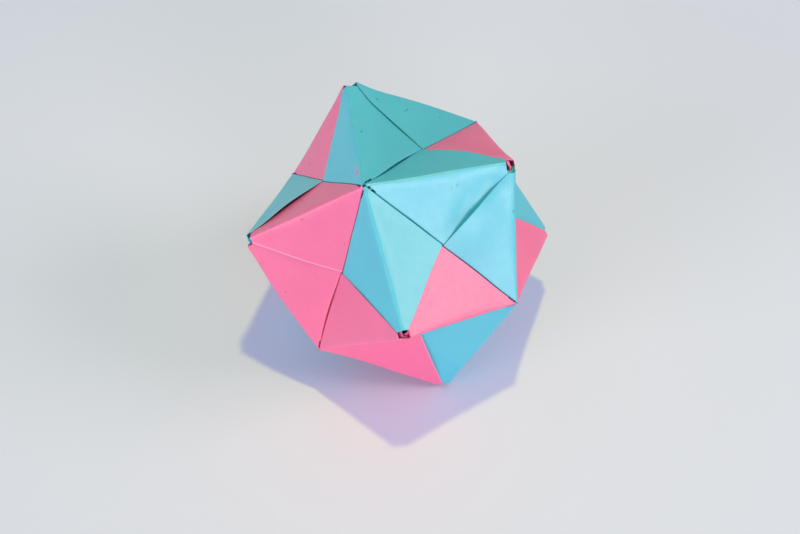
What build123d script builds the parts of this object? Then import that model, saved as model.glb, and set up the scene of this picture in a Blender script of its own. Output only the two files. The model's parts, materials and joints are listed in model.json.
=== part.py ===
from build123d import *

import os
from math import asin, cos, radians, sin, sqrt, tan

# Modular paper ball folded from twelve square sheets, six cyan and six pink.
#
# Each sheet is folded the same way into a parallelogram with four layers and two
# pointed tabs. Every tab slides under the loose flap of a neighbouring sheet, and
# the twelve sheets lock into a ball with eight square-cornered pyramids, one on
# each face of an octahedron. There is no glue. The ball stands on three points.
#
# Every face of the ball is a stack of ten levels, counted from the inside. Four
# hold the folded layers of the face's own sheet, five hold the tab of a neighbour,
# and the last is the loose flap that closes over that tab.

# Driving dimensions in millimetres
sheet_side = 75.0
paper = 0.10
layer_air = 0.03
seam_clearance = 0.04
crease_radius = 0.25
valley_radius = 0.16
flap_gap = 0.15
corner_relief = 0.9
tip_relief = 0.35
# How much of a foot's surroundings is searched for the point it stands on
foot_share = 0.25
levelling_rounds = 4

# Levels of the folded layers in the sheet's own face and in its tab
BACK_OWN, BACK_TAB = 1, 5
TUCKED_FLAP = 2
INNER_OWN, INNER_TAB = 3, 6
CORNER_OWN, CORNER_TAB = 4, 7
TURNED_END = 8
FLAP_OWN, FLAP_TAB = 10, 9

pitch = paper + layer_air
half_paper = paper / 2
tilt = asin(1 / 3)
root_two = sqrt(2)
# The back panel bends over its ridge five levels out, so the ball's bare core is
# smaller than half a sheet by what those levels add along the octahedron's edge.
core_edge = sheet_side / 2 - (BACK_TAB * root_two - 2 * tan(tilt)) * pitch
half_edge = core_edge / 2
leg = core_edge / root_two

seam_edge = half_paper + 2 * seam_clearance
corner_edge = half_paper + seam_clearance


def height(level):
    return level * pitch


def fold_radius(low, high):
    return (high - low) * pitch / 2


def fold_level(low, high):
    return (high + low) * pitch / 2


def valley_setback(low, high):
    """How far from the valley a fold between two levels has its centre line."""
    reach = seam_edge + fold_level(low, high) * sin(tilt) + fold_radius(low, high) + half_paper
    return reach / cos(tilt)


# The folded edge of the sheet's leg, whose outside lies on the ridge of the core
leg_setback = fold_radius(BACK_OWN, CORNER_OWN) + half_paper
# The two folded edges at the slanted end of the tab: a soft one, and one pressed flat
tab_setback = fold_radius(BACK_TAB, CORNER_TAB) + half_paper
end_setback = half_paper
# The long soft fold of the tab and the pressed one of the turned corner, by the valley
long_setback = valley_setback(BACK_TAB, FLAP_TAB)
corner_lean = (height(CORNER_OWN) + half_paper) * sin(tilt)
corner_setback = (seam_edge + corner_lean) / cos(tilt) + half_paper

# Reference planes. The sheet's valley runs along X with the outside of the ball
# towards +Z. Its own left face rises from the valley, and the tab hangs from the
# ridge at right angles to that face.
rise = Vector(0, cos(tilt), sin(tilt))
outward = Vector(0, -sin(tilt), cos(tilt))
own_face = Plane(origin=(0, 0, 0), x_dir=(1, 0, 0), z_dir=outward)
tip = rise * half_edge
ridge_dir = (Vector(1, 0, 0) - rise) / root_two
ridge_out = (Vector(1, 0, 0) + rise) / root_two
tab_face = Plane(origin=tip, x_dir=ridge_dir, z_dir=ridge_out)
corner_q = Vector(half_edge, 0, 0)
corner_p = Vector(-half_edge, 0, 0)
far_corner = tip - outward * leg


def own_corners(valley, leg_reach, ridge_reach):
    """Corners of a layer in the own face: its valley end, ridge end and tip."""
    valley_end = Vector(valley - half_edge - leg_reach * root_two, valley)
    ridge_end = Vector(half_edge + ridge_reach * root_two - valley, valley)
    tip_end = Vector(
        (ridge_reach - leg_reach) / root_two,
        half_edge + (ridge_reach + leg_reach) / root_two,
    )
    return valley_end, ridge_end, tip_end


def own_crease(level_tab):
    """Where an inner layer in the own face ends at its sharp crease on the ridge."""
    return height(level_tab) + half_paper


def tab_crease(level_own):
    """Where an inner layer in the tab ends at its sharp crease on the ridge."""
    return -height(level_own) - half_paper


def layer(plane, level, corners):
    """One flat panel of paper at its level above a face of the core."""
    with BuildSketch(plane.offset(height(level))) as outline:
        with BuildLine():
            Polyline(*[(c.X, c.Y) for c in corners], close=True)
        make_face()
    extrude(outline.sketch, amount=half_paper, both=True)


def bent_paper(radius, start_angle, turn):
    """The cut end of paper bent round a radius, drawn in the open sketch."""
    with BuildLine() as profile:
        outer = CenterArc((0, 0), radius + half_paper, start_angle, turn)
        inner = CenterArc((0, 0), radius - half_paper, start_angle, turn)
        Line(outer @ 0, inner @ 0)
        Line(outer @ 1, inner @ 1)
    make_face(profile.edges())


def soft_fold(start, along, outside, normal, levels, setback, length):
    """A half-round fold joining two levels, running from start along an edge."""
    low, high = levels
    centre = start - outside * setback + normal * fold_level(low, high)
    with BuildSketch(Plane(origin=centre, x_dir=outside, z_dir=along)) as section:
        bent_paper(fold_radius(low, high), -90, 180)
    extrude(section.sketch, amount=length)


def pressed_fold(start, along, outside, normal, levels, setback, length):
    """A fold pressed flat between two neighbouring levels."""
    low, high = levels
    centre = start - outside * setback + normal * fold_level(low, high)
    with BuildSketch(Plane(origin=centre, x_dir=outside, z_dir=along)) as section:
        Rectangle(paper, height(high - low) + paper)
    extrude(section.sketch, amount=length)


def ridge_bend(level_own, level_tab, start, length):
    """A layer's bend over the ridge, from its tip end towards the far corner."""
    across = height(level_tab) - crease_radius
    up = height(level_own) - crease_radius
    centre = tip + ridge_dir * start + ridge_out * across + outward * up
    with BuildSketch(Plane(origin=centre, x_dir=ridge_out, z_dir=ridge_dir)) as section:
        turn = 1 if ridge_out.cross(outward).dot(ridge_dir) > 0 else -1
        bent_paper(crease_radius, 0, 90 * turn)
    extrude(section.sketch, amount=length)


# Reliefs of the folds at the octahedron's corners, where four sheets meet
long_relief = 2 * corner_relief
ridge_length = leg + long_relief
overshoot = 3 * pitch
flap_bend_start = crease_radius - height(FLAP_OWN)
# Length of the flap's face taken up by its rounded turn down into the valley
valley_tangent = valley_radius * tan((radians(90) - tilt) / 2)
tab_long = leg - root_two * long_setback

with BuildPart() as half_sheet:
    # Back panel and the corner folded over it, in the own face
    layer(own_face, BACK_OWN, own_corners(-overshoot, -leg_setback, own_crease(BACK_TAB)))
    layer(own_face, CORNER_OWN, own_corners(corner_setback, -leg_setback, own_crease(CORNER_TAB)))
    layer(own_face, INNER_OWN, own_corners(corner_setback, -leg_setback, own_crease(INNER_TAB)))
    # Lower cupboard flap, tucked inside the folded corner up to the middle line
    valley_end, ridge_end, tip_end = own_corners(-overshoot, -leg_setback, 0)
    middle_top = Vector(-flap_gap, half_edge - leg_setback * root_two - flap_gap)
    layer(own_face, TUCKED_FLAP, [valley_end, Vector(-flap_gap, -overshoot), middle_top])
    # Upper cupboard flap, loose over the neighbour's tab up to the middle line
    flap_start = height(FLAP_OWN) * tan(tilt) + valley_tangent
    flap_ridge = height(FLAP_TAB) - crease_radius
    valley_end, ridge_end, tip_end = own_corners(flap_start, -end_setback, flap_ridge)
    middle_top = Vector(flap_gap, half_edge - end_setback * root_two + flap_gap)
    layer(own_face, FLAP_OWN, [Vector(flap_gap, flap_start), ridge_end, tip_end, middle_top])

    # The tab: back panel, folded corner, turned end and flap, with the raw edges
    # of the inner layers stopping short of the long fold
    for level, near, setback in (
        (BACK_TAB, tab_crease(BACK_OWN), tab_setback),
        (CORNER_TAB, tab_crease(CORNER_OWN), tab_setback),
        (FLAP_TAB, flap_bend_start, end_setback),
    ):
        layer(
            tab_face,
            level,
            [Vector(setback, near), Vector(tab_long - near, near), Vector(setback, tab_long - setback)],
        )
    near = tab_crease(INNER_OWN)
    layer(
        tab_face,
        INNER_TAB,
        [Vector(leg_setback, near), Vector(tab_long - near, near), Vector(tab_long / 2, tab_long / 2)],
    )
    layer(
        tab_face,
        TURNED_END,
        [
            Vector(end_setback, end_setback + flap_gap),
            Vector(tab_long / 2 - flap_gap, tab_long / 2),
            Vector(end_setback, tab_long - end_setback),
        ],
    )

    # The outer flap rounds over the sharp creases of the layers inside it
    ridge_bend(FLAP_OWN, FLAP_TAB, end_setback, ridge_length)

    # Folded edges: two nested ones on the leg, two on the slanted end of the tab,
    # the long one under the neighbour's flap and the one beside the valley
    leg_dir = (tip - corner_p).normalized()
    leg_out = -ridge_dir
    leg_start = corner_p + leg_dir * corner_relief
    leg_end = leg - corner_relief
    soft_fold(
        leg_start, leg_dir, leg_out, outward,
        (BACK_OWN, CORNER_OWN), leg_setback, leg_end + height(INNER_TAB),
    )
    pressed_fold(
        leg_start, leg_dir, leg_out, outward,
        (TUCKED_FLAP, INNER_OWN), leg_setback, leg_end - tip_relief,
    )
    end_start = far_corner + outward * corner_relief
    soft_fold(
        end_start, outward, leg_out, ridge_out,
        (BACK_TAB, CORNER_TAB), tab_setback, leg_end + height(TUCKED_FLAP),
    )
    pressed_fold(
        end_start, outward, leg_out, ridge_out,
        (TURNED_END, FLAP_TAB), end_setback, leg_end - flap_bend_start,
    )
    long_dir = (corner_q - far_corner).normalized()
    long_out = (ridge_dir - outward).normalized()
    soft_fold(
        far_corner + long_dir * long_relief, long_dir, long_out, ridge_out,
        (BACK_TAB, FLAP_TAB), long_setback, core_edge - 2 * long_relief,
    )
    pressed_fold(
        corner_p + Vector(long_relief, 0, 0), Vector(1, 0, 0), -rise, outward,
        (INNER_OWN, CORNER_OWN), corner_setback, core_edge - long_relief,
    )
    # The mitre at the valley, where the back panel runs on into the other half
    split(bisect_by=Plane(origin=(0, 0, 0), x_dir=(1, 0, 0), z_dir=(0, 1, 0)), keep=Keep.TOP)

    # The flap's way down through the valley, from its loose end on this side to
    # its tucked end on the other
    flap_low = height(TUCKED_FLAP) / cos(tilt)
    flap_high = height(FLAP_OWN) / cos(tilt)
    turn_run = valley_tangent + half_paper
    with BuildSketch(Plane(origin=(flap_gap, 0, 0), x_dir=(0, 1, 0), z_dir=(1, 0, 0))):
        with BuildLine():
            FilletPolyline(
                (turn_run * cos(tilt), flap_high + turn_run * sin(tilt)),
                (0, flap_high),
                (0, flap_low),
                radius=valley_radius,
            )
        trace(line_width=paper)
    extrude(amount=half_edge + height(FLAP_OWN))

    # Both ends stop short of the sheets that come round the ball's corners
    inward_q = Vector(-1, 0, 1).normalized()
    inward_p = Vector(1, 0, 1).normalized()
    split(bisect_by=Plane(origin=corner_q + inward_q * corner_edge, z_dir=inward_q), keep=Keep.TOP)
    split(bisect_by=Plane(origin=corner_p + inward_p * corner_edge, z_dir=inward_p), keep=Keep.TOP)

# The folded sheet looks the same turned end for end
with BuildPart() as sheet:
    add(half_sheet.part)
    add(half_sheet.part, rotation=(0, 0, 180))


# The octahedron under the ball: six corners on three axes, and the eight tips
core_corner = core_edge / root_two
core_tip = core_corner * 2 / 3
corners = {
    "a": Vector(1, 0, 0),
    "b": Vector(0, 1, 0),
    "c": Vector(0, 0, 1),
    "d": Vector(-1, 0, 0),
    "e": Vector(0, -1, 0),
    "f": Vector(0, 0, -1),
}
opposite = {"a": "d", "b": "e", "c": "f", "d": "a", "e": "b", "f": "c"}
cyan_edges = ["ab", "af", "ac", "bd", "fd", "ed"]
pink_edges = ["ae", "bf", "fe", "ec", "cb", "cd"]


def edge_plane(edge):
    """Where a sheet lies on the octahedron: its valley on the named edge."""
    start = corners[edge[0]]
    end = corners[edge[1]]
    return Plane(
        origin=(start + end) * (core_corner / 2),
        x_dir=end - start,
        z_dir=start + end,
    )


# The ball rests on corner d and the two tips next to it on the side of corner e.
# The first guess leans it halfway, and each round then levels its lowest points.
support_guides = [
    corners["d"] * core_corner,
    Vector(-1, -1, -1) * core_tip,
    Vector(-1, -1, 1) * core_tip,
]
sheet_points = [
    edge_plane(edge).from_local_coords(vertex.center())
    for edge in cyan_edges + pink_edges
    for vertex in sheet.part.vertices()
]
foot_radius = core_corner * foot_share
feet = [[p for p in sheet_points if (p - guide).length < foot_radius] for guide in support_guides]
up = Vector(2, 1, 0).normalized()
for levelling_round in range(levelling_rounds):
    lowest = [min(foot, key=lambda p: p.dot(up)) for foot in feet]
    normal = (lowest[1] - lowest[0]).cross(lowest[2] - lowest[0]).normalized()
    up = normal if normal.dot(up) > 0 else -normal
across = (lowest[1] - lowest[2]).normalized()
ahead = up.cross(across)


def standing(vector):
    """A direction or place on the ball, turned so that its three feet are level."""
    return Vector(vector.dot(across), vector.dot(ahead), vector.dot(up))


def standing_plane(edge, shift):
    plane = edge_plane(edge)
    return Plane(
        origin=standing(plane.origin) + shift,
        x_dir=standing(plane.x_dir),
        z_dir=standing(plane.z_dir),
    )


def ball_bounds():
    """The ball's box while its centre is still at the origin."""
    lows = Vector(0, 0, 0)
    highs = Vector(0, 0, 0)
    for edge in cyan_edges + pink_edges:
        box = sheet.part.moved(standing_plane(edge, Vector(0, 0, 0)).location).bounding_box()
        lows = Vector(min(lows.X, box.min.X), min(lows.Y, box.min.Y), min(lows.Z, box.min.Z))
        highs = Vector(max(highs.X, box.max.X), max(highs.Y, box.max.Y), max(highs.Z, box.max.Z))
    return lows, highs


lows, highs = ball_bounds()
to_floor = Vector(-(lows.X + highs.X) / 2, -(lows.Y + highs.Y) / 2, -lows.Z)

os.makedirs("parts", exist_ok=True)
for colour, edges in (("cyan", cyan_edges), ("pink", pink_edges)):
    for number, edge in enumerate(edges, start=1):
        with BuildPart() as piece:
            with Locations(standing_plane(edge, to_floor)):
                add(sheet.part)
        piece.part.label = f"{colour}_sheet_{number}"
        export_step(piece.part, f"parts/{piece.part.label}.step")

print("size of the ball", highs - lows)
print("centre of the ball", to_floor)
print("directions of the standing ball", across, ahead, up)
print("paper in a flat sheet", sheet_side * sheet_side * paper)
print("paper in a folded sheet", sheet.part.volume)
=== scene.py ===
# A modular paper ball folded from twelve square sheets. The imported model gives
# every folded sheet. Here one sheet is cut into a fine mesh, bent the way soft
# paper bends, and laid in all twelve places, with cyan and pink coloured paper.
# Lengths are in millimetres unless they are given in MM.

import json
from math import asin, cos, pi, radians, sin, sqrt

import bpy
import numpy as np
from mathutils import Matrix, Vector, noise

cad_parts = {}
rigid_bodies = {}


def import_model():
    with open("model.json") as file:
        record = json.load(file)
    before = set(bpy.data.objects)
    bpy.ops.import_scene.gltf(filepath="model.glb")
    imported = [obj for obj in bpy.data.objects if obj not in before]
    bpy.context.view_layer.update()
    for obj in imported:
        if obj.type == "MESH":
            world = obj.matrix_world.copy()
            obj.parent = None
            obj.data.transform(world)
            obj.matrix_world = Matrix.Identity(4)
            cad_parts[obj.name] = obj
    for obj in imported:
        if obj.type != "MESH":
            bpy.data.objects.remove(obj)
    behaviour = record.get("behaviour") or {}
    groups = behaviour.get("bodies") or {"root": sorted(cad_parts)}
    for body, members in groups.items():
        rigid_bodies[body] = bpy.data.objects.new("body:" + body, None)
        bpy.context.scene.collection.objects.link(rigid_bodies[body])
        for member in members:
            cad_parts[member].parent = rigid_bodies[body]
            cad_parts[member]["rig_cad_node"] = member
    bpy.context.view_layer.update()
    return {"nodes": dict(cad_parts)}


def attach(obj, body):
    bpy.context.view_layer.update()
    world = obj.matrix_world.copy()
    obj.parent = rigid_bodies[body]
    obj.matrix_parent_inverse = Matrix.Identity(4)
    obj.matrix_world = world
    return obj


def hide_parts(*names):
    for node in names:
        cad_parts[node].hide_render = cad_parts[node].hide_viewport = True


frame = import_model()

MM = 0.001

# The folded sheet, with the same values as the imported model
SHEET_SIDE = 75.0
PAPER = 0.10
PITCH = 0.13
FLAP_LEVEL = 10
TAB_LEVELS_FROM = 5
TILT = asin(1 / 3)
ROOT_TWO = sqrt(2)
LAYERS_DEPTH = (TAB_LEVELS_FROM * ROOT_TWO - 2 * sin(TILT) / cos(TILT)) * PITCH
CORE_EDGE = SHEET_SIDE / 2 - LAYERS_DEPTH
HALF_EDGE = CORE_EDGE / 2
# From a tip to a corner of the ball, and from the ball's centre to each of them
LEG = CORE_EDGE / ROOT_TWO
CORNER_RADIUS = CORE_EDGE / ROOT_TWO
TIP_RADIUS = CORNER_RADIUS * 2 / sqrt(3)

# How the ball stands: its three axes seen from the floor, and its centre
ACROSS = Vector((-0.000476, -0.002762, -0.999996))
AHEAD = Vector((-0.459034, 0.888416, -0.002235))
UP = Vector((0.888419, 0.459031, -0.001691))
STAND = Matrix((ACROSS, AHEAD, UP))
BALL_CENTRE = Vector((-0.000043, -0.029692, 24.9115))

OCTAHEDRON = {
    "a": Vector((1, 0, 0)),
    "b": Vector((0, 1, 0)),
    "c": Vector((0, 0, 1)),
    "d": Vector((-1, 0, 0)),
    "e": Vector((0, -1, 0)),
    "f": Vector((0, 0, -1)),
}
CYAN_EDGES = ["ab", "af", "ac", "bd", "fd", "ed"]
PINK_EDGES = ["ae", "bf", "fe", "ec", "cb", "cd"]

# How far the loose edge of a flap stands off where the photo shows it, on the left
# and on the right of each sheet. Then the form of its bow, and the least share of
# its width that the flap narrows to
FLAP_LIFTS = {
    "af": (1.25, 0.15),
    "ab": (0.24, 0.90),
    "ac": (0.60, 0.12),
    "ae": (0.14, 0.22),
    "ec": (0.12, 0.20),
    "fe": (0.30, 0.10),
}
COMMON_FLAP_LIFT = 0.20
FLAP_BOW = 1.5
NARROWEST_FLAP = 0.02
# How far the folded edge of a tab stands off beside the valley it lies along, and
# how much of the tab follows, with the form of its bow
TAB_LIFTS = {
    "ac": (0.08, 0.80),
    "ec": (0.08, 0.36),
    "af": (0.08, 0.12),
}
COMMON_TAB_LIFT = 0.08
TAB_LIFT_WIDTH = 8.0
TAB_BOW = 1.3
# How far the folded edge of a tab lies back from the valley beside it
TAB_GAPS = {
    "ec": (0.05, 0.30),
    "ac": (0.05, 0.30),
    "ab": (0.05, 0.16),
    "fe": (0.05, 0.12),
}
COMMON_TAB_GAP = 0.06
# Where the folded edge of a tab ends short of the ball's corner, how far it is drawn
# towards the corner, and how much of the tab follows
FOLD_END = 1.8
CORNER_DRAW = 1.1
DRAW_REACH = 2.5
# Faces pressed in along their middle line: the sheet's edge, its left or right
# face as 1 or -1, and the depth. Then how wide, and which layers go with the face
DENTS = {("af", 1): 0.65, ("ab", 1): 0.20}
DENT_WIDTH = 2.2
DENT_BOW = 1.3
DENT_BOTTOM = -0.3
DENT_TOP = 3.5

# How far each corner of this ball lies from its even place, seen in the photo
CORNER_SHIFTS = [
    ((-0.0, -12.9, 49.8), (0.16, -0.06, -0.12)),
    ((-0.1, 24.8, 37.7), (-0.11, 0.27, 0.25)),
    ((28.0, 0.0, 25.0), (0.16, 0.08, -0.03)),
    ((0.1, -24.9, 12.1), (-0.81, -0.16, 0.30)),
    ((-9.3, -25.1, 22.5), (-0.50, -0.90, 0.05)),
    ((-28.0, -0.1, 24.9), (-0.14, -0.13, -0.01)),
    ((0.0, 12.8, 0.1), (0.00, 0.00, 0.00)),
    ((18.6, 8.0, 50.1), (0.16, 0.65, 0.39)),
    ((18.7, -25.1, 32.9), (0.68, -0.16, -0.98)),
    ((-18.7, 7.9, 50.0), (-1.00, -0.61, 0.07)),
    ((-18.6, -25.2, 32.9), (0.12, -0.74, 0.41)),
    ((18.7, -8.0, -0.2), (0.38, -0.78, 0.00)),
    ((18.6, 25.1, 16.9), (0.73, 0.74, 0.17)),
    ((-18.7, 25.0, 16.9), (0.00, 0.00, 0.00)),
    ((-18.6, -8.1, -0.2), (0.00, 0.00, 0.00)),
    ((-0.0, 6.0, 43.7), (-0.38, 0.11, 0.28)),
    ((14.0, -6.4, 37.4), (0.09, 0.13, 0.05)),
    ((0.0, -18.9, 30.9), (-0.15, -0.18, -0.06)),
    ((-14.0, -6.5, 37.3), (-0.28, -0.43, -0.17)),
]
SHIFT_REACH = 10.0
# The slight waviness of all the paper, and how far above the floor bending is full.
# Without a seed, Blender takes the waves from the clock and each run differs
UNEVEN_SEED = 1795614853
UNEVEN_SIZE = 11.0
UNEVEN_DEPTH = 0.20
FLOOR_BLEND = 6.0

# Ridges are rounded softly: how much the bend at the fold itself opens, how far from
# the ridge the paper starts to bend at its middle, and how far the paper beside it
# swells so that the outline stays straight
RIDGE_ROUNDING = 0.13
RIDGE_REACH = 2.4
SMALLEST_REACH = 0.001
CROWN_SHARE = 1.1
CROWN_WIDTH = 1.9
# How deep under the outermost paper the layers bend with it, and how far outside it
# paper that stands off still does
STACK_DEPTH = 1.7
STACK_MARGIN = 0.4
# How far the paper at the open tips and corners is pulled away from their axis, and
# how far out along it, by their signs along the three axes of the ball. Then how far
# round each of them that reaches, and the core in which it fades away
OPENINGS = {
    (1, 1, -1): (0.62, 0.05),
    (1, -1, -1): (0.28, 0.05),
    (1, 1, 1): (0.70, 0.10),
    (1, -1, 1): (0.40, 0.05),
    (1, 0, 0): (0.42, 0.0),
    (0, 0, -1): (0.10, 0.0),
}
COMMON_TIP_OPENING = (0.28, 0.05)
OPENING_REACH = 3.0
OPENING_CORE = 0.15

# The fine mesh: its even step, its closer cuts beside the ridges, the distance at
# which points are one, and the angle from which an edge stays sharp
MESH_STEP = 1.5
RIDGE_CUTS = (0.20, 0.45, 0.80, 1.25, 1.80, 2.40)
MERGE_DISTANCE = 0.001
FOLD_ANGLE = radians(35)

# How pale the raw edge of a flap is made, on the left and on the right: its cut paper
# rubbed pale, with a painted highlight where the edge catches light. Below zero it
# gets a painted shadow instead, dark where the edge lies in its own shadow
FLAP_EDGE_RUB_HIGHLIGHT_SHADOW = {
    "ab": (-1.0, 0.3),
    "ae": (0.0, 1.0),
    "af": (0.3, 0.3),
    "ac": (0.8, 0.3),
    "fe": (0.9, 0.3),
}
COMMON_FLAP_RUB_AND_HIGHLIGHT = 0.35
# How much narrower the pale band of an edge is that is not paled at all, the number
# that an edge with painted shadow starts from instead of 0, and one that is far from
# any edge
PALE_BAND_NARROWING = 0.35
PAINTED_SHADOW_START = 50.0
NO_EDGE = 250.0

# The paper's colour, the colour it is rubbed to, which also paints the highlights on
# raw edges and folds, and the colour of its specks, which also paints the shadow on
# dark raw edges
CYAN = (0.085, 0.58, 0.70, 1)
CYAN_RUBBED_AND_HIGHLIGHT = (0.42, 0.78, 0.84, 1)
CYAN_SPECK_AND_SHADOW = (0.02, 0.22, 0.26, 1)
PINK = (1.0, 0.158, 0.335, 1)
PINK_RUBBED_AND_HIGHLIGHT = (1.0, 0.55, 0.65, 1)
PINK_SPECK_AND_SHADOW = (0.55, 0.08, 0.14, 1)
WHITE = (1.0, 1.0, 1.0, 1)
CLOUD_DARKEST = (0.93, 0.94, 0.95, 1)
FIBRE_DARKEST = (0.95, 0.95, 0.95, 1)

# What the group for coloured paper is given and gives
PAPER_INPUTS = {
    "Place": "NodeSocketVector",
    "Creases": "NodeSocketVector",
    "Edges": "NodeSocketVector",
    "Paper": "NodeSocketColor",
    "Rubbed and highlight": "NodeSocketColor",
    "Speck and shadow": "NodeSocketColor",
}
PAPER_OUTPUTS = {
    "Colour": "NodeSocketColor",
    "Roughness": "NodeSocketFloat",
    "Normal": "NodeSocketVector",
}

# The paper's noises: scale for each metre, detail and roughness
CLOUD_NOISE = (90, 3, 0.5)
FIBRE_NOISE = (2600, 4, 0.65)
GRAIN_NOISE = (900, 3, 0.6)
SCUFF_NOISE = (700, 2, 0.5)
SCUFFED_NOISE = (120, 2, 0.5)
SPECK_SCALE = 230
SCUFF_STRETCH = (1, 0.28, 0.6)
SCUFF_TURN = (0.4, 0.9, 0.5)
# The values of each of them at which its mark starts and is full
CLOUD_RANGE = (0.25, 0.75)
FIBRE_RANGE = (0.3, 0.7)
PATCH_RANGE = (0.35, 0.65)
SCUFF_RANGE = (0.70, 0.76)
SCUFFED_RANGE = (0.54, 0.62)
SPECK_RANGE = (0.095, 0.04)
SPECKLESS_SHARE = 0.86
# The distances at which the marks along a ridge, a raw edge with its painted
# highlight, an edge with painted shadow and the fold of a tab with its painted
# highlight start and are full
RIDGE_RANGE = (0.9, 0.0)
PALE_EDGE_RANGE = (0.425, 0.275)
PAINTED_SHADOW_RANGE = (0.275, 0.175)
FOLD_RANGE = (1.0, 0.6)
# How strong each mark is
SPECK_STRENGTH = 0.70
SCUFF_STRENGTH = 0.4
RIDGE_STRENGTH = 0.06
PALE_EDGE_STRENGTH = 0.5
PAINTED_SHADOW_STRENGTH = 0.75
FOLD_STRENGTH = 0.10
# The paper's shine: its least roughness, what the grain adds, and the bumps
ROUGHNESS = 0.30
GRAIN_ROUGHNESS = 0.16
SPECULAR = 1.0
BUMP_STRENGTH = 0.25
BUMP_HEIGHT = 0.04 * MM

FLOOR_SIZE = 6
FLOOR_COLOUR = (0.82, 0.845, 0.93, 1)
FLOOR_ROUGHNESS = 0.9
FLOOR_SPECULAR = 0.1

# Each light's name, place, size, energy and colour, and what all of them aim at
LIGHTS = [
    ("overhead", (0.003, -0.003, 0.38), 0.02, 0.42, (1.0, 0.91, 0.16)),
    ("window_near", (0.98, -0.62, 0.20), 0.55, 4.9, (1.0, 0.87, 0.90)),
    ("window_far", (0.80, 0.50, 0.58), 0.55, 3.7, (1.0, 0.84, 0.87)),
    ("fill", (-0.28, -1.10, 0.22), 0.8, 6.4, (0.82, 0.90, 1.0)),
]
LIGHT_AIM = Vector((0, 0, 0.025))
ROOM_COLOUR = (0.60, 0.72, 1.0, 1)
ROOM_STRENGTH = 0.50

CAMERA_AIM = Vector((2.698, -3.748, 20.864)) * MM
CAMERA_DISTANCE = 296.455 * MM
CAMERA_AZIMUTH = radians(34.937)
CAMERA_ELEVATION = radians(48.615)
CAMERA_ROLL = radians(2.860)
CAMERA_LENS = 67.04
CAMERA_SENSOR = 36
CAMERA_NEAREST = 0.01

# The sheet in its own frame: valley along X, outside of the ball towards +Z. Its
# left face leans along RISE, under its own flap, and the tab on that side lies
# beyond the ridge, square to RIDGE_OUT
RISE = Vector((0, cos(TILT), sin(TILT)))
OUTWARD = Vector((0, -sin(TILT), cos(TILT)))
TIP = RISE * HALF_EDGE
RIDGE_DIR = (Vector((1, 0, 0)) - RISE) / ROOT_TWO
RIDGE_OUT = (Vector((1, 0, 0)) + RISE) / ROOT_TWO
# The tab's folded edge, from the ball's corner on, and the way back from it
CORNER = Vector((HALF_EDGE, 0, 0))
FOLD_DIR = (TIP - OUTWARD * LEG - CORNER).normalized()
FOLD_BACK = (OUTWARD - RIDGE_DIR).normalized()
# Heights of the outermost paper above the core, on the own face and on the tab, and
# those that tell the flap and the tab from the other layers
FACE_TOP = FLAP_LEVEL * PITCH + PAPER / 2
TAB_TOP = (FLAP_LEVEL - 1) * PITCH + PAPER / 2
FLAP_FROM = (FLAP_LEVEL - 0.6) * PITCH
TAB_FROM = (TAB_LEVELS_FROM - 0.5) * PITCH
TAB_BELOW = FLAP_LEVEL * PITCH - 0.35


# Small helpers for many points at once

def project(points, direction):
    """How far each point lies along a direction."""
    return points @ np.array(direction)


def steps(amounts, direction):
    """A step along one direction for each point."""
    return amounts[:, None] * np.array(direction)


def bow(share, power=1):
    """A value that is 0 at both ends of a line and 1 at its middle."""
    return np.sin(np.clip(share, 0, 1) * pi) ** power


def fade(distance, width=1):
    """A value that falls evenly from 1 to 0 over a width."""
    return np.clip(1 - distance / width, 0, 1)


def bell(distance, width):
    """A value that falls softly from 1, and is nearly 0 at two widths."""
    return np.exp(-((distance / width) ** 2))


def turned(points, side):
    """The points, with those whose side is -1 turned half round the Z axis."""
    result = points.copy()
    result[:, 0] *= side
    result[:, 1] *= side
    return result


def by_side(table, edge, common, side):
    """A sheet's left or right value in a table for each point, or the common one."""
    left, right = table.get(edge, (common, common))
    return np.where(side > 0, left, right)


# The mesh of one sheet

def sheet_matrix(edge):
    """Takes a sheet from its own frame to its place on the standing ball."""
    start, end = OCTAHEDRON[edge[0]], OCTAHEDRON[edge[1]]
    along = (end - start).normalized()
    out = (start + end).normalized()
    side = out.cross(along)
    matrix = (STAND @ Matrix((along, side, out)).transposed()).to_4x4()
    matrix.translation = STAND @ ((start + end) * (CORNER_RADIUS / 2)) + BALL_CENTRE
    return matrix


def select_only(piece):
    bpy.ops.object.select_all(action="DESELECT")
    piece.select_set(True)
    bpy.context.view_layer.objects.active = piece


def coordinates(piece):
    values = np.zeros(len(piece.data.vertices) * 3)
    piece.data.vertices.foreach_get("co", values)
    return values.reshape(-1, 3)


def set_coordinates(piece, values):
    piece.data.vertices.foreach_set("co", values.astype(np.float32).ravel())
    piece.data.update()


def cut_at(direction, distance):
    """Cuts the mesh in edit mode by one plane."""
    bpy.ops.mesh.select_all(action="SELECT")
    bpy.ops.mesh.bisect(
        plane_co=direction * distance, plane_no=direction, use_fill=False
    )


def cut_evenly(direction):
    """Cuts the mesh in edit mode by evenly spaced planes across a direction."""
    reach = HALF_EDGE + 2 * MESH_STEP
    for number in range(int(2 * reach / MESH_STEP) + 1):
        cut_at(direction, number * MESH_STEP - reach)


def cut_beside_ridges():
    """Cuts the mesh in edit mode by closer planes on both sides of both ridges."""
    tab_side = TIP.dot(RIDGE_OUT) + TAB_TOP
    for turn in (1, -1):
        half_turn = Matrix.Diagonal((turn, turn, 1))
        for away in RIDGE_CUTS:
            cut_at(half_turn @ RIDGE_OUT, tab_side - away)
            cut_at(half_turn @ OUTWARD, FACE_TOP - away)


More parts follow.
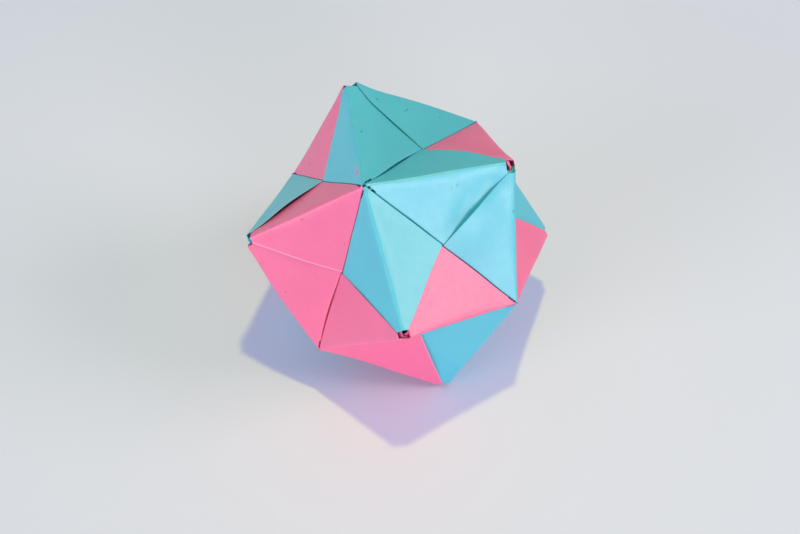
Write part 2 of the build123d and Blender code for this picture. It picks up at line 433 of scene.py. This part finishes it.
def fine_sheet():
    """One folded sheet in its own frame, with an even fine mesh."""
    select_only(frame["nodes"]["cyan_sheet_1"])
    bpy.ops.object.duplicate()
    piece = bpy.context.object
    del piece["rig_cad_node"]
    piece.parent = None
    bpy.ops.mesh.customdata_custom_splitnormals_clear()
    piece.data.transform(Matrix.Scale(1 / MM, 4))
    piece.data.transform(sheet_matrix(CYAN_EDGES[0]).inverted())
    bpy.ops.object.mode_set(mode="EDIT")
    bpy.ops.mesh.select_all(action="SELECT")
    bpy.ops.mesh.remove_doubles(threshold=MERGE_DISTANCE)
    cut_evenly(Vector((1, 0, 0)))
    cut_evenly(Vector((0, 1, 0)))
    cut_beside_ridges()
    bpy.ops.mesh.select_all(action="SELECT")
    bpy.ops.mesh.quads_convert_to_tris()
    bpy.ops.object.mode_set(mode="OBJECT")
    return piece


# Loose flaps and tabs, in the sheet's own frame

def on_left(values):
    """The points with the right half turned onto the left, and each one's half."""
    side = np.where(values[:, 1] >= 0, 1.0, -1.0)
    return turned(values, side), side


def tab_mask(left):
    """Which points lie in the tab, beyond the ridge, and not in the own face."""
    beyond = project(left - np.array(TIP), RIDGE_OUT)
    return (beyond > TAB_FROM) & (project(left, OUTWARD) < TAB_BELOW)


def flap_mask(left):
    """Which points lie in the loose outer flap of the sheet's own face."""
    return (project(left, OUTWARD) > FLAP_FROM) & (left[:, 0] > 0) & ~tab_mask(left)


def from_fold(left):
    """How far points lie along the tab's folded edge, and back from it."""
    offset = left - np.array(CORNER)
    return project(offset, FOLD_DIR), project(offset, FOLD_BACK)


def flap_lift(left, amount):
    """How far points of the flap stand off, most at the middle of its raw edge."""
    rise = project(left, RISE) / HALF_EDGE
    width = np.clip(1 - rise, NARROWEST_FLAP, 1)
    from_edge = left[:, 0] / HALF_EDGE / width
    lift = amount * bow(rise, FLAP_BOW) * fade(from_edge) ** 2
    return np.where(flap_mask(left), lift, 0)


def tab_edge_share(left):
    """How near points of the tab are to the shown half of its folded edge."""
    along, away = from_fold(left)
    share = bow(along / HALF_EDGE, TAB_BOW) * fade(away, TAB_LIFT_WIDTH) ** 2
    return np.where(tab_mask(left), share, 0)


def corner_draw(left):
    """How far points of the tab slide along its fold, towards the ball's corner."""
    along, away = from_fold(left)
    before = np.clip(along / FOLD_END, 0, 1)
    beyond = bell(np.maximum(along - FOLD_END, 0), DRAW_REACH)
    draw = CORNER_DRAW * before * beyond * fade(away, DRAW_REACH)
    return np.where(tab_mask(left), draw, 0)


def lifted(values, edge):
    """The sheet's points with its loose flaps and tab edges standing off."""
    left, side = on_left(values)
    share = tab_edge_share(left)
    flap = flap_lift(left, by_side(FLAP_LIFTS, edge, COMMON_FLAP_LIFT, side))
    tab = share * by_side(TAB_LIFTS, edge, COMMON_TAB_LIFT, side)
    gap = share * by_side(TAB_GAPS, edge, COMMON_TAB_GAP, side)
    moved = left + steps(flap, OUTWARD) + steps(tab, RIDGE_OUT)
    moved += steps(gap, FOLD_BACK) - steps(corner_draw(left), FOLD_DIR)
    return turned(moved, side)


# Bends of the whole standing ball

def in_sheet_frame(values, edge):
    """Points of the standing ball in the frame of the sheet on an edge."""
    matrix = np.array(sheet_matrix(edge))
    return (values - matrix[:3, 3]) @ matrix[:3, :3]


def in_ball_frame(moves, edge):
    """Steps in the frame of the sheet on an edge, as steps of the standing ball."""
    return moves @ np.array(sheet_matrix(edge))[:3, :3].T


def ridge_step(left):
    """The steps that round one sheet's left ridge, with all the layers under it."""
    from_tip = left - np.array(TIP)
    own = TAB_TOP - project(from_tip, RIDGE_OUT)
    tab = FACE_TOP - project(left, OUTWARD)
    depth = np.minimum(own, tab)
    in_stack = (depth < STACK_DEPTH) & (depth > -STACK_MARGIN)
    reach = RIDGE_REACH * bow(project(from_tip, RIDGE_DIR) / LEG) + SMALLEST_REACH
    path = np.abs(own - tab) / reach
    crown = CROWN_SHARE * bell(path, CROWN_WIDTH)
    drop = RIDGE_ROUNDING * reach * (fade(path) ** 2 - crown)
    inward = -(RIDGE_OUT + OUTWARD) / ROOT_TWO
    return steps(np.where(in_stack, drop, 0), inward)


def round_ridges(values):
    """Rounds every ridge of the ball over softly."""
    moved = values.copy()
    for edge in CYAN_EDGES + PINK_EDGES:
        local = in_sheet_frame(values, edge)
        for turn in (1, -1):
            moves = turned(ridge_step(turned(local, turn)), turn)
            moved += in_ball_frame(moves, edge)
    return moved


def dent_faces(values):
    """Presses a face in along its middle line, with all the layers in it."""
    moved = values.copy()
    for (edge, turn), depth in DENTS.items():
        left = turned(in_sheet_frame(values, edge), turn)
        height = project(left, OUTWARD)
        rise = project(left, RISE) / HALF_EDGE
        inside = (height > DENT_BOTTOM) & (height < DENT_TOP) & (rise > 0) & (rise < 1)
        press = -depth * bow(rise, DENT_BOW) * bell(left[:, 0], DENT_WIDTH)
        moves = steps(np.where(inside, press, 0), OUTWARD)
        moved += in_ball_frame(turned(moves, turn), edge)
    return moved


def open_place(values, signs, width, out):
    """Pulls the points round one tip or corner off its axis, and a little out."""
    axis = np.array((STAND @ Vector(signs)).normalized())
    radius = CORNER_RADIUS if sum(map(abs, signs)) == 1 else TIP_RADIUS
    offset = values - np.array(BALL_CENTRE) - axis * radius
    radial = offset - steps(offset @ axis, axis)
    pull = bell(np.linalg.norm(offset, axis=1), OPENING_REACH)
    size = np.maximum(np.linalg.norm(radial, axis=1), OPENING_CORE)
    return (width * pull / size)[:, None] * radial + steps(out * pull, axis)


def open_tips(values):
    """Opens the ball's tips and corners as far as the photo shows."""
    tips = [(a, b, c) for a in (-1, 1) for b in (-1, 1) for c in (-1, 1)]
    moved = values.copy()
    for signs in tips + [place for place in OPENINGS if place not in tips]:
        width, out = OPENINGS.get(signs, COMMON_TIP_OPENING)
        moved += open_place(values, signs, width, out)
    return moved


def shift_shares(points, places):
    """How strongly the shift of each place moves each point."""
    apart = ((points[:, None] - places[None]) ** 2).sum(-1)
    return np.exp(-apart / (2 * SHIFT_REACH**2))


def bend_ball(values):
    """Bends points of the standing ball by one smooth field, so layers stay apart."""
    places = np.array([place for place, shift in CORNER_SHIFTS])
    shifts = np.array([shift for place, shift in CORNER_SHIFTS])
    weights = np.linalg.solve(shift_shares(places, places), shifts)
    waves = [noise.noise_vector(Vector(point) / UNEVEN_SIZE) for point in values]
    moved = shift_shares(values, places) @ weights
    return values + moved + np.array(waves) * UNEVEN_DEPTH


def hold_feet(before, after):
    """Keeps the points near the floor at the heights they had."""
    freedom = np.clip(before[:, 2] / FLOOR_BLEND, 0, 1)
    kept = after.copy()
    kept[:, 2] = before[:, 2] + (after[:, 2] - before[:, 2]) * freedom
    return kept


# Where the paper is rubbed, and where highlights and shadows are painted, kept in UV
# layers

def face_corners(piece):
    """Every corner of every face and its face's middle, on the left, and its half."""
    corner_points = np.zeros(len(piece.data.loops), dtype=int)
    piece.data.loops.foreach_get("vertex_index", corner_points)
    middles = np.zeros(len(piece.data.polygons) * 3)
    piece.data.polygons.foreach_get("center", middles)
    corner_counts = np.zeros(len(piece.data.polygons), dtype=int)
    piece.data.polygons.foreach_get("loop_total", corner_counts)
    face_of = np.repeat(np.arange(len(corner_counts)), corner_counts)
    faces, side = on_left(middles.reshape(-1, 3)[face_of])
    return turned(coordinates(piece)[corner_points], side), faces, side


def set_layer(layer, first, second):
    """Writes two values for each face corner into a UV layer."""
    values = np.stack([first, second], 1)
    layer.data.foreach_set("uv", values.astype(np.float32).ravel())


def add_mark_layers(piece):
    """Keeps how far face corners lie from the ridge, the tab's fold and a raw edge."""
    points, faces, side = face_corners(piece)
    in_tab = tab_mask(faces)
    own = project(points - np.array(TIP), RIDGE_OUT)
    from_ridge = np.where(in_tab, project(points, OUTWARD), own) - FLAP_LEVEL * PITCH
    behind_fold = np.where(in_tab, from_fold(points)[1], NO_EDGE)
    from_raw = np.where(flap_mask(faces), points[:, 0], NO_EDGE)
    set_layer(piece.data.uv_layers.new(name="creases"), from_ridge, behind_fold)
    set_layer(piece.data.uv_layers.new(name="edges"), from_raw, side)


def rub_highlight_and_shade_flap_edges(piece, edge):
    """Makes each raw edge of a sheet's flaps pale with a painted highlight, plain, or
    dark with a painted shadow, each in its own way.
    """
    layer = piece.data.uv_layers["edges"]
    values = np.zeros(len(piece.data.loops) * 2)
    layer.data.foreach_get("uv", values)
    from_raw, side = values.reshape(-1, 2).T
    edge_rub_highlight_shadow = by_side(FLAP_EDGE_RUB_HIGHLIGHT_SHADOW, edge, COMMON_FLAP_RUB_AND_HIGHLIGHT, side)
    # An edge below zero moves to the band of the painted shadow, the others to the
    # pale band with its painted highlight
    start = np.where(edge_rub_highlight_shadow < 0, PAINTED_SHADOW_START, (1 - edge_rub_highlight_shadow) * PALE_BAND_NARROWING)
    set_layer(layer, from_raw + start, side)


def place_sheet(master, name, edge, node, material):
    """One finished sheet in its place on the ball."""
    select_only(master)
    bpy.ops.object.duplicate()
    piece = bpy.context.object
    piece.name = name
    piece.data.name = name
    matrix = np.array(sheet_matrix(edge))
    values = lifted(coordinates(piece), edge) @ matrix[:3, :3].T + matrix[:3, 3]
    bent = bend_ball(open_tips(round_ridges(dent_faces(values))))
    set_coordinates(piece, hold_feet(values, bent) * MM)
    rub_highlight_and_shade_flap_edges(piece, edge)
    piece.data.materials.clear()
    piece.data.materials.append(material)
    bpy.ops.object.shade_smooth_by_angle(angle=FOLD_ANGLE)
    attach(piece, "root")
    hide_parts(node)


# Paper

def put(tree, value, socket):
    """Links an output to a socket, or sets the socket to a plain value."""
    if isinstance(value, bpy.types.NodeSocket):
        tree.links.new(value, socket)
    else:
        socket.default_value = value


def math_node(tree, operation, first, second=None):
    node = tree.nodes.new("ShaderNodeMath")
    node.operation = operation
    put(tree, first, node.inputs[0])
    if second is not None:
        put(tree, second, node.inputs[1])
    return node.outputs["Value"]


def times(tree, first, second):
    return math_node(tree, "MULTIPLY", first, second)


def noise_value(tree, coordinate, look):
    node = tree.nodes.new("ShaderNodeTexNoise")
    for name, value in zip(("Scale", "Detail", "Roughness"), look):
        node.inputs[name].default_value = value
    tree.links.new(coordinate, node.inputs["Vector"])
    return node.outputs["Fac"]


def ramp(tree, value, span):
    """A value that goes smoothly from 0 to 1 between the two ends of a span."""
    node = tree.nodes.new("ShaderNodeMapRange")
    node.interpolation_type = "SMOOTHSTEP"
    node.inputs["From Min"].default_value = span[0]
    node.inputs["From Max"].default_value = span[1]
    tree.links.new(value, node.inputs["Value"])
    return node.outputs["Result"]


def mix_colour(tree, mask, first, second, blend="MIX"):
    node = tree.nodes.new("ShaderNodeMix")
    node.data_type = "RGBA"
    node.blend_type = blend
    node.clamp_factor = True
    put(tree, mask, node.inputs["Factor"])
    first_socket, second_socket = [s for s in node.inputs if s.type == "RGBA"]
    put(tree, first, first_socket)
    put(tree, second, second_socket)
    return next(s for s in node.outputs if s.type == "RGBA")


def speck_mask(tree, place):
    """Dark specks in the paper, few and small."""
    cells = tree.nodes.new("ShaderNodeTexVoronoi")
    cells.inputs["Scale"].default_value = SPECK_SCALE
    tree.links.new(place, cells.inputs["Vector"])
    dot = ramp(tree, cells.outputs["Distance"], SPECK_RANGE)
    chosen = tree.nodes.new("ShaderNodeSeparateColor")
    tree.links.new(cells.outputs["Color"], chosen.inputs["Color"])
    rare = math_node(tree, "GREATER_THAN", chosen.outputs["Red"], SPECKLESS_SHARE)
    return times(tree, times(tree, dot, rare), SPECK_STRENGTH)


def scuff_mask(tree, place):
    """Short scuffs, in some places only."""
    stretched = tree.nodes.new("ShaderNodeMapping")
    stretched.inputs["Scale"].default_value = SCUFF_STRETCH
    stretched.inputs["Rotation"].default_value = SCUFF_TURN
    tree.links.new(place, stretched.inputs["Vector"])
    scuffs = noise_value(tree, stretched.outputs["Vector"], SCUFF_NOISE)
    scuffed = noise_value(tree, place, SCUFFED_NOISE)
    scuffs = ramp(tree, scuffs, SCUFF_RANGE)
    scuffs = times(tree, scuffs, ramp(tree, scuffed, SCUFFED_RANGE))
    return times(tree, scuffs, SCUFF_STRENGTH)


def pale_mask(tree, from_ridge, behind_fold, from_raw, grain):
    """Paper rubbed paler in patches along the ridges, and paler along folds and raw
    edges, partly rubbed and partly a painted highlight.
    """
    near_ridge = ramp(tree, math_node(tree, "ABSOLUTE", from_ridge), RIDGE_RANGE)
    ridge = times(tree, near_ridge, ramp(tree, grain, PATCH_RANGE))
    ridge = times(tree, ridge, RIDGE_STRENGTH)
    raw = times(tree, ramp(tree, from_raw, PALE_EDGE_RANGE), PALE_EDGE_STRENGTH)
    fold = times(tree, ramp(tree, behind_fold, FOLD_RANGE), FOLD_STRENGTH)
    return math_node(tree, "MAXIMUM", ridge, math_node(tree, "MAXIMUM", raw, fold))


def painted_shadow_mask(tree, from_raw):
    """The raw edges that get a painted shadow, dark instead of pale."""
    from_dark = math_node(tree, "SUBTRACT", from_raw, PAINTED_SHADOW_START)
    from_dark = math_node(tree, "ABSOLUTE", from_dark)
    return times(tree, ramp(tree, from_dark, PAINTED_SHADOW_RANGE), PAINTED_SHADOW_STRENGTH)


def add_sockets(group, direction, kinds):
    for name, kind in kinds.items():
        group.interface.new_socket(name=name, in_out=direction, socket_type=kind)


def paper_colour(tree, given, grain, fibre):
    """Cloudy colour with fibres, rubbed paler with painted highlights on edges and
    folds, with its specks and scuffs, and painted shadow on dark edges.
    """
    place = given.outputs["Place"]
    creases = tree.nodes.new("ShaderNodeSeparateXYZ")
    tree.links.new(given.outputs["Creases"], creases.inputs["Vector"])
    edges = tree.nodes.new("ShaderNodeSeparateXYZ")
    tree.links.new(given.outputs["Edges"], edges.inputs["Vector"])
    from_ridge, behind_fold = creases.outputs["X"], creases.outputs["Y"]
    from_raw = edges.outputs["X"]
    rubbed_and_highlight, speck_and_shadow = given.outputs["Rubbed and highlight"], given.outputs["Speck and shadow"]

    cloud = ramp(tree, noise_value(tree, place, CLOUD_NOISE), CLOUD_RANGE)
    clouds = mix_colour(tree, cloud, CLOUD_DARKEST, WHITE)
    fibres = mix_colour(tree, ramp(tree, fibre, FIBRE_RANGE), FIBRE_DARKEST, WHITE)
    colour = mix_colour(tree, 1.0, given.outputs["Paper"], clouds, "MULTIPLY")
    colour = mix_colour(tree, 1.0, colour, fibres, "MULTIPLY")
    pale = pale_mask(tree, from_ridge, behind_fold, from_raw, grain)
    # Paler along the ridges by wear, and along raw edges and folds partly by a painted
    # highlight
    colour = mix_colour(tree, pale, colour, rubbed_and_highlight)
    colour = mix_colour(tree, scuff_mask(tree, place), colour, speck_and_shadow)
    colour = mix_colour(tree, speck_mask(tree, place), colour, speck_and_shadow)
    # Painted shadow along the dark raw edges, in the speck colour
    return mix_colour(tree, painted_shadow_mask(tree, from_raw), colour, speck_and_shadow)


def paper_group():
    """Coloured paper: its colour with all its marks, its shine and its fibres."""
    group = bpy.data.node_groups.new("coloured_paper", "ShaderNodeTree")
    add_sockets(group, "INPUT", PAPER_INPUTS)
    add_sockets(group, "OUTPUT", PAPER_OUTPUTS)
    given = group.nodes.new("NodeGroupInput")
    result = group.nodes.new("NodeGroupOutput")
    fibre = noise_value(group, given.outputs["Place"], FIBRE_NOISE)
    grain = noise_value(group, given.outputs["Place"], GRAIN_NOISE)
    colour = paper_colour(group, given, grain, fibre)
    shine = math_node(group, "ADD", times(group, grain, GRAIN_ROUGHNESS), ROUGHNESS)
    bump = group.nodes.new("ShaderNodeBump")
    bump.inputs["Strength"].default_value = BUMP_STRENGTH
    bump.inputs["Distance"].default_value = BUMP_HEIGHT
    height = math_node(group, "ADD", fibre, grain)
    group.links.new(height, bump.inputs["Height"])
    group.links.new(colour, result.inputs["Colour"])
    group.links.new(shine, result.inputs["Roughness"])
    group.links.new(bump.outputs["Normal"], result.inputs["Normal"])
    return group


def paper_material(name, group, paper, rubbed_and_highlight, speck_and_shadow):
    material = bpy.data.materials.new(name)
    material.use_nodes = True
    material.diffuse_color = paper
    tree = material.node_tree
    shader = tree.nodes["Principled BSDF"]
    look = tree.nodes.new("ShaderNodeGroup")
    look.node_tree = group
    look.inputs["Paper"].default_value = paper
    look.inputs["Rubbed and highlight"].default_value = rubbed_and_highlight
    look.inputs["Speck and shadow"].default_value = speck_and_shadow
    place = tree.nodes.new("ShaderNodeTexCoord")
    tree.links.new(place.outputs["Object"], look.inputs["Place"])
    for layer, name in (("creases", "Creases"), ("edges", "Edges")):
        node = tree.nodes.new("ShaderNodeUVMap")
        node.uv_map = layer
        tree.links.new(node.outputs["UV"], look.inputs[name])
    tree.links.new(look.outputs["Colour"], shader.inputs["Base Color"])
    tree.links.new(look.outputs["Roughness"], shader.inputs["Roughness"])
    tree.links.new(look.outputs["Normal"], shader.inputs["Normal"])
    shader.inputs["Specular IOR Level"].default_value = SPECULAR
    return material


# Floor, light and camera

def floor_material():
    material = bpy.data.materials.new("pale_floor")
    material.use_nodes = True
    shader = material.node_tree.nodes["Principled BSDF"]
    shader.inputs["Base Color"].default_value = FLOOR_COLOUR
    shader.inputs["Roughness"].default_value = FLOOR_ROUGHNESS
    shader.inputs["Specular IOR Level"].default_value = FLOOR_SPECULAR
    return material


def make_floor():
    bpy.ops.mesh.primitive_plane_add(size=FLOOR_SIZE, location=(0, 0, 0))
    floor = bpy.context.object
    floor.name = "floor"
    floor.data.materials.append(floor_material())


def add_area_light(name, place, size, energy, colour):
    bpy.ops.object.light_add(type="AREA", location=place)
    light = bpy.context.object
    light.name = name
    light.data.shape = "DISK"
    light.data.size = size
    light.data.energy = energy
    light.data.color = colour
    light.rotation_mode = "QUATERNION"
    light.rotation_quaternion = (LIGHT_AIM - Vector(place)).to_track_quat("-Z", "Y")


def make_lights():
    for light in LIGHTS:
        add_area_light(*light)
    world = bpy.data.worlds.new("soft_room")
    bpy.context.scene.world = world
    world.use_nodes = True
    back = world.node_tree.nodes["Background"]
    back.inputs["Color"].default_value = ROOM_COLOUR
    back.inputs["Strength"].default_value = ROOM_STRENGTH


def make_camera():
    back = Vector((
        sin(CAMERA_AZIMUTH) * cos(CAMERA_ELEVATION),
        -cos(CAMERA_AZIMUTH) * cos(CAMERA_ELEVATION),
        sin(CAMERA_ELEVATION),
    ))
    bpy.ops.object.camera_add(location=CAMERA_AIM + back * CAMERA_DISTANCE)
    camera = bpy.context.object
    camera.name = "camera"
    camera.rotation_mode = "QUATERNION"
    level = (-back).to_track_quat("-Z", "Y")
    roll = Matrix.Rotation(CAMERA_ROLL, 3, "Z").to_quaternion()
    camera.rotation_quaternion = level @ roll
    camera.data.lens = CAMERA_LENS
    camera.data.sensor_width = CAMERA_SENSOR
    camera.data.clip_start = CAMERA_NEAREST
    bpy.context.scene.camera = camera


group = paper_group()
cyan_paper = paper_material("cyan_paper", group, CYAN, CYAN_RUBBED_AND_HIGHLIGHT, CYAN_SPECK_AND_SHADOW)
pink_paper = paper_material("pink_paper", group, PINK, PINK_RUBBED_AND_HIGHLIGHT, PINK_SPECK_AND_SHADOW)

noise.seed_set(UNEVEN_SEED)
master = fine_sheet()
add_mark_layers(master)
for colour, edges, material in (
    ("cyan", CYAN_EDGES, cyan_paper),
    ("pink", PINK_EDGES, pink_paper),
):
    for number, edge in enumerate(edges, start=1):
        place_sheet(
            master,
            f"{colour}_paper_{number}",
            edge,
            f"{colour}_sheet_{number}",
            material,
        )
bpy.data.objects.remove(master)

make_floor()
make_lights()
make_camera()
bpy.context.scene.view_settings.view_transform = "Standard"
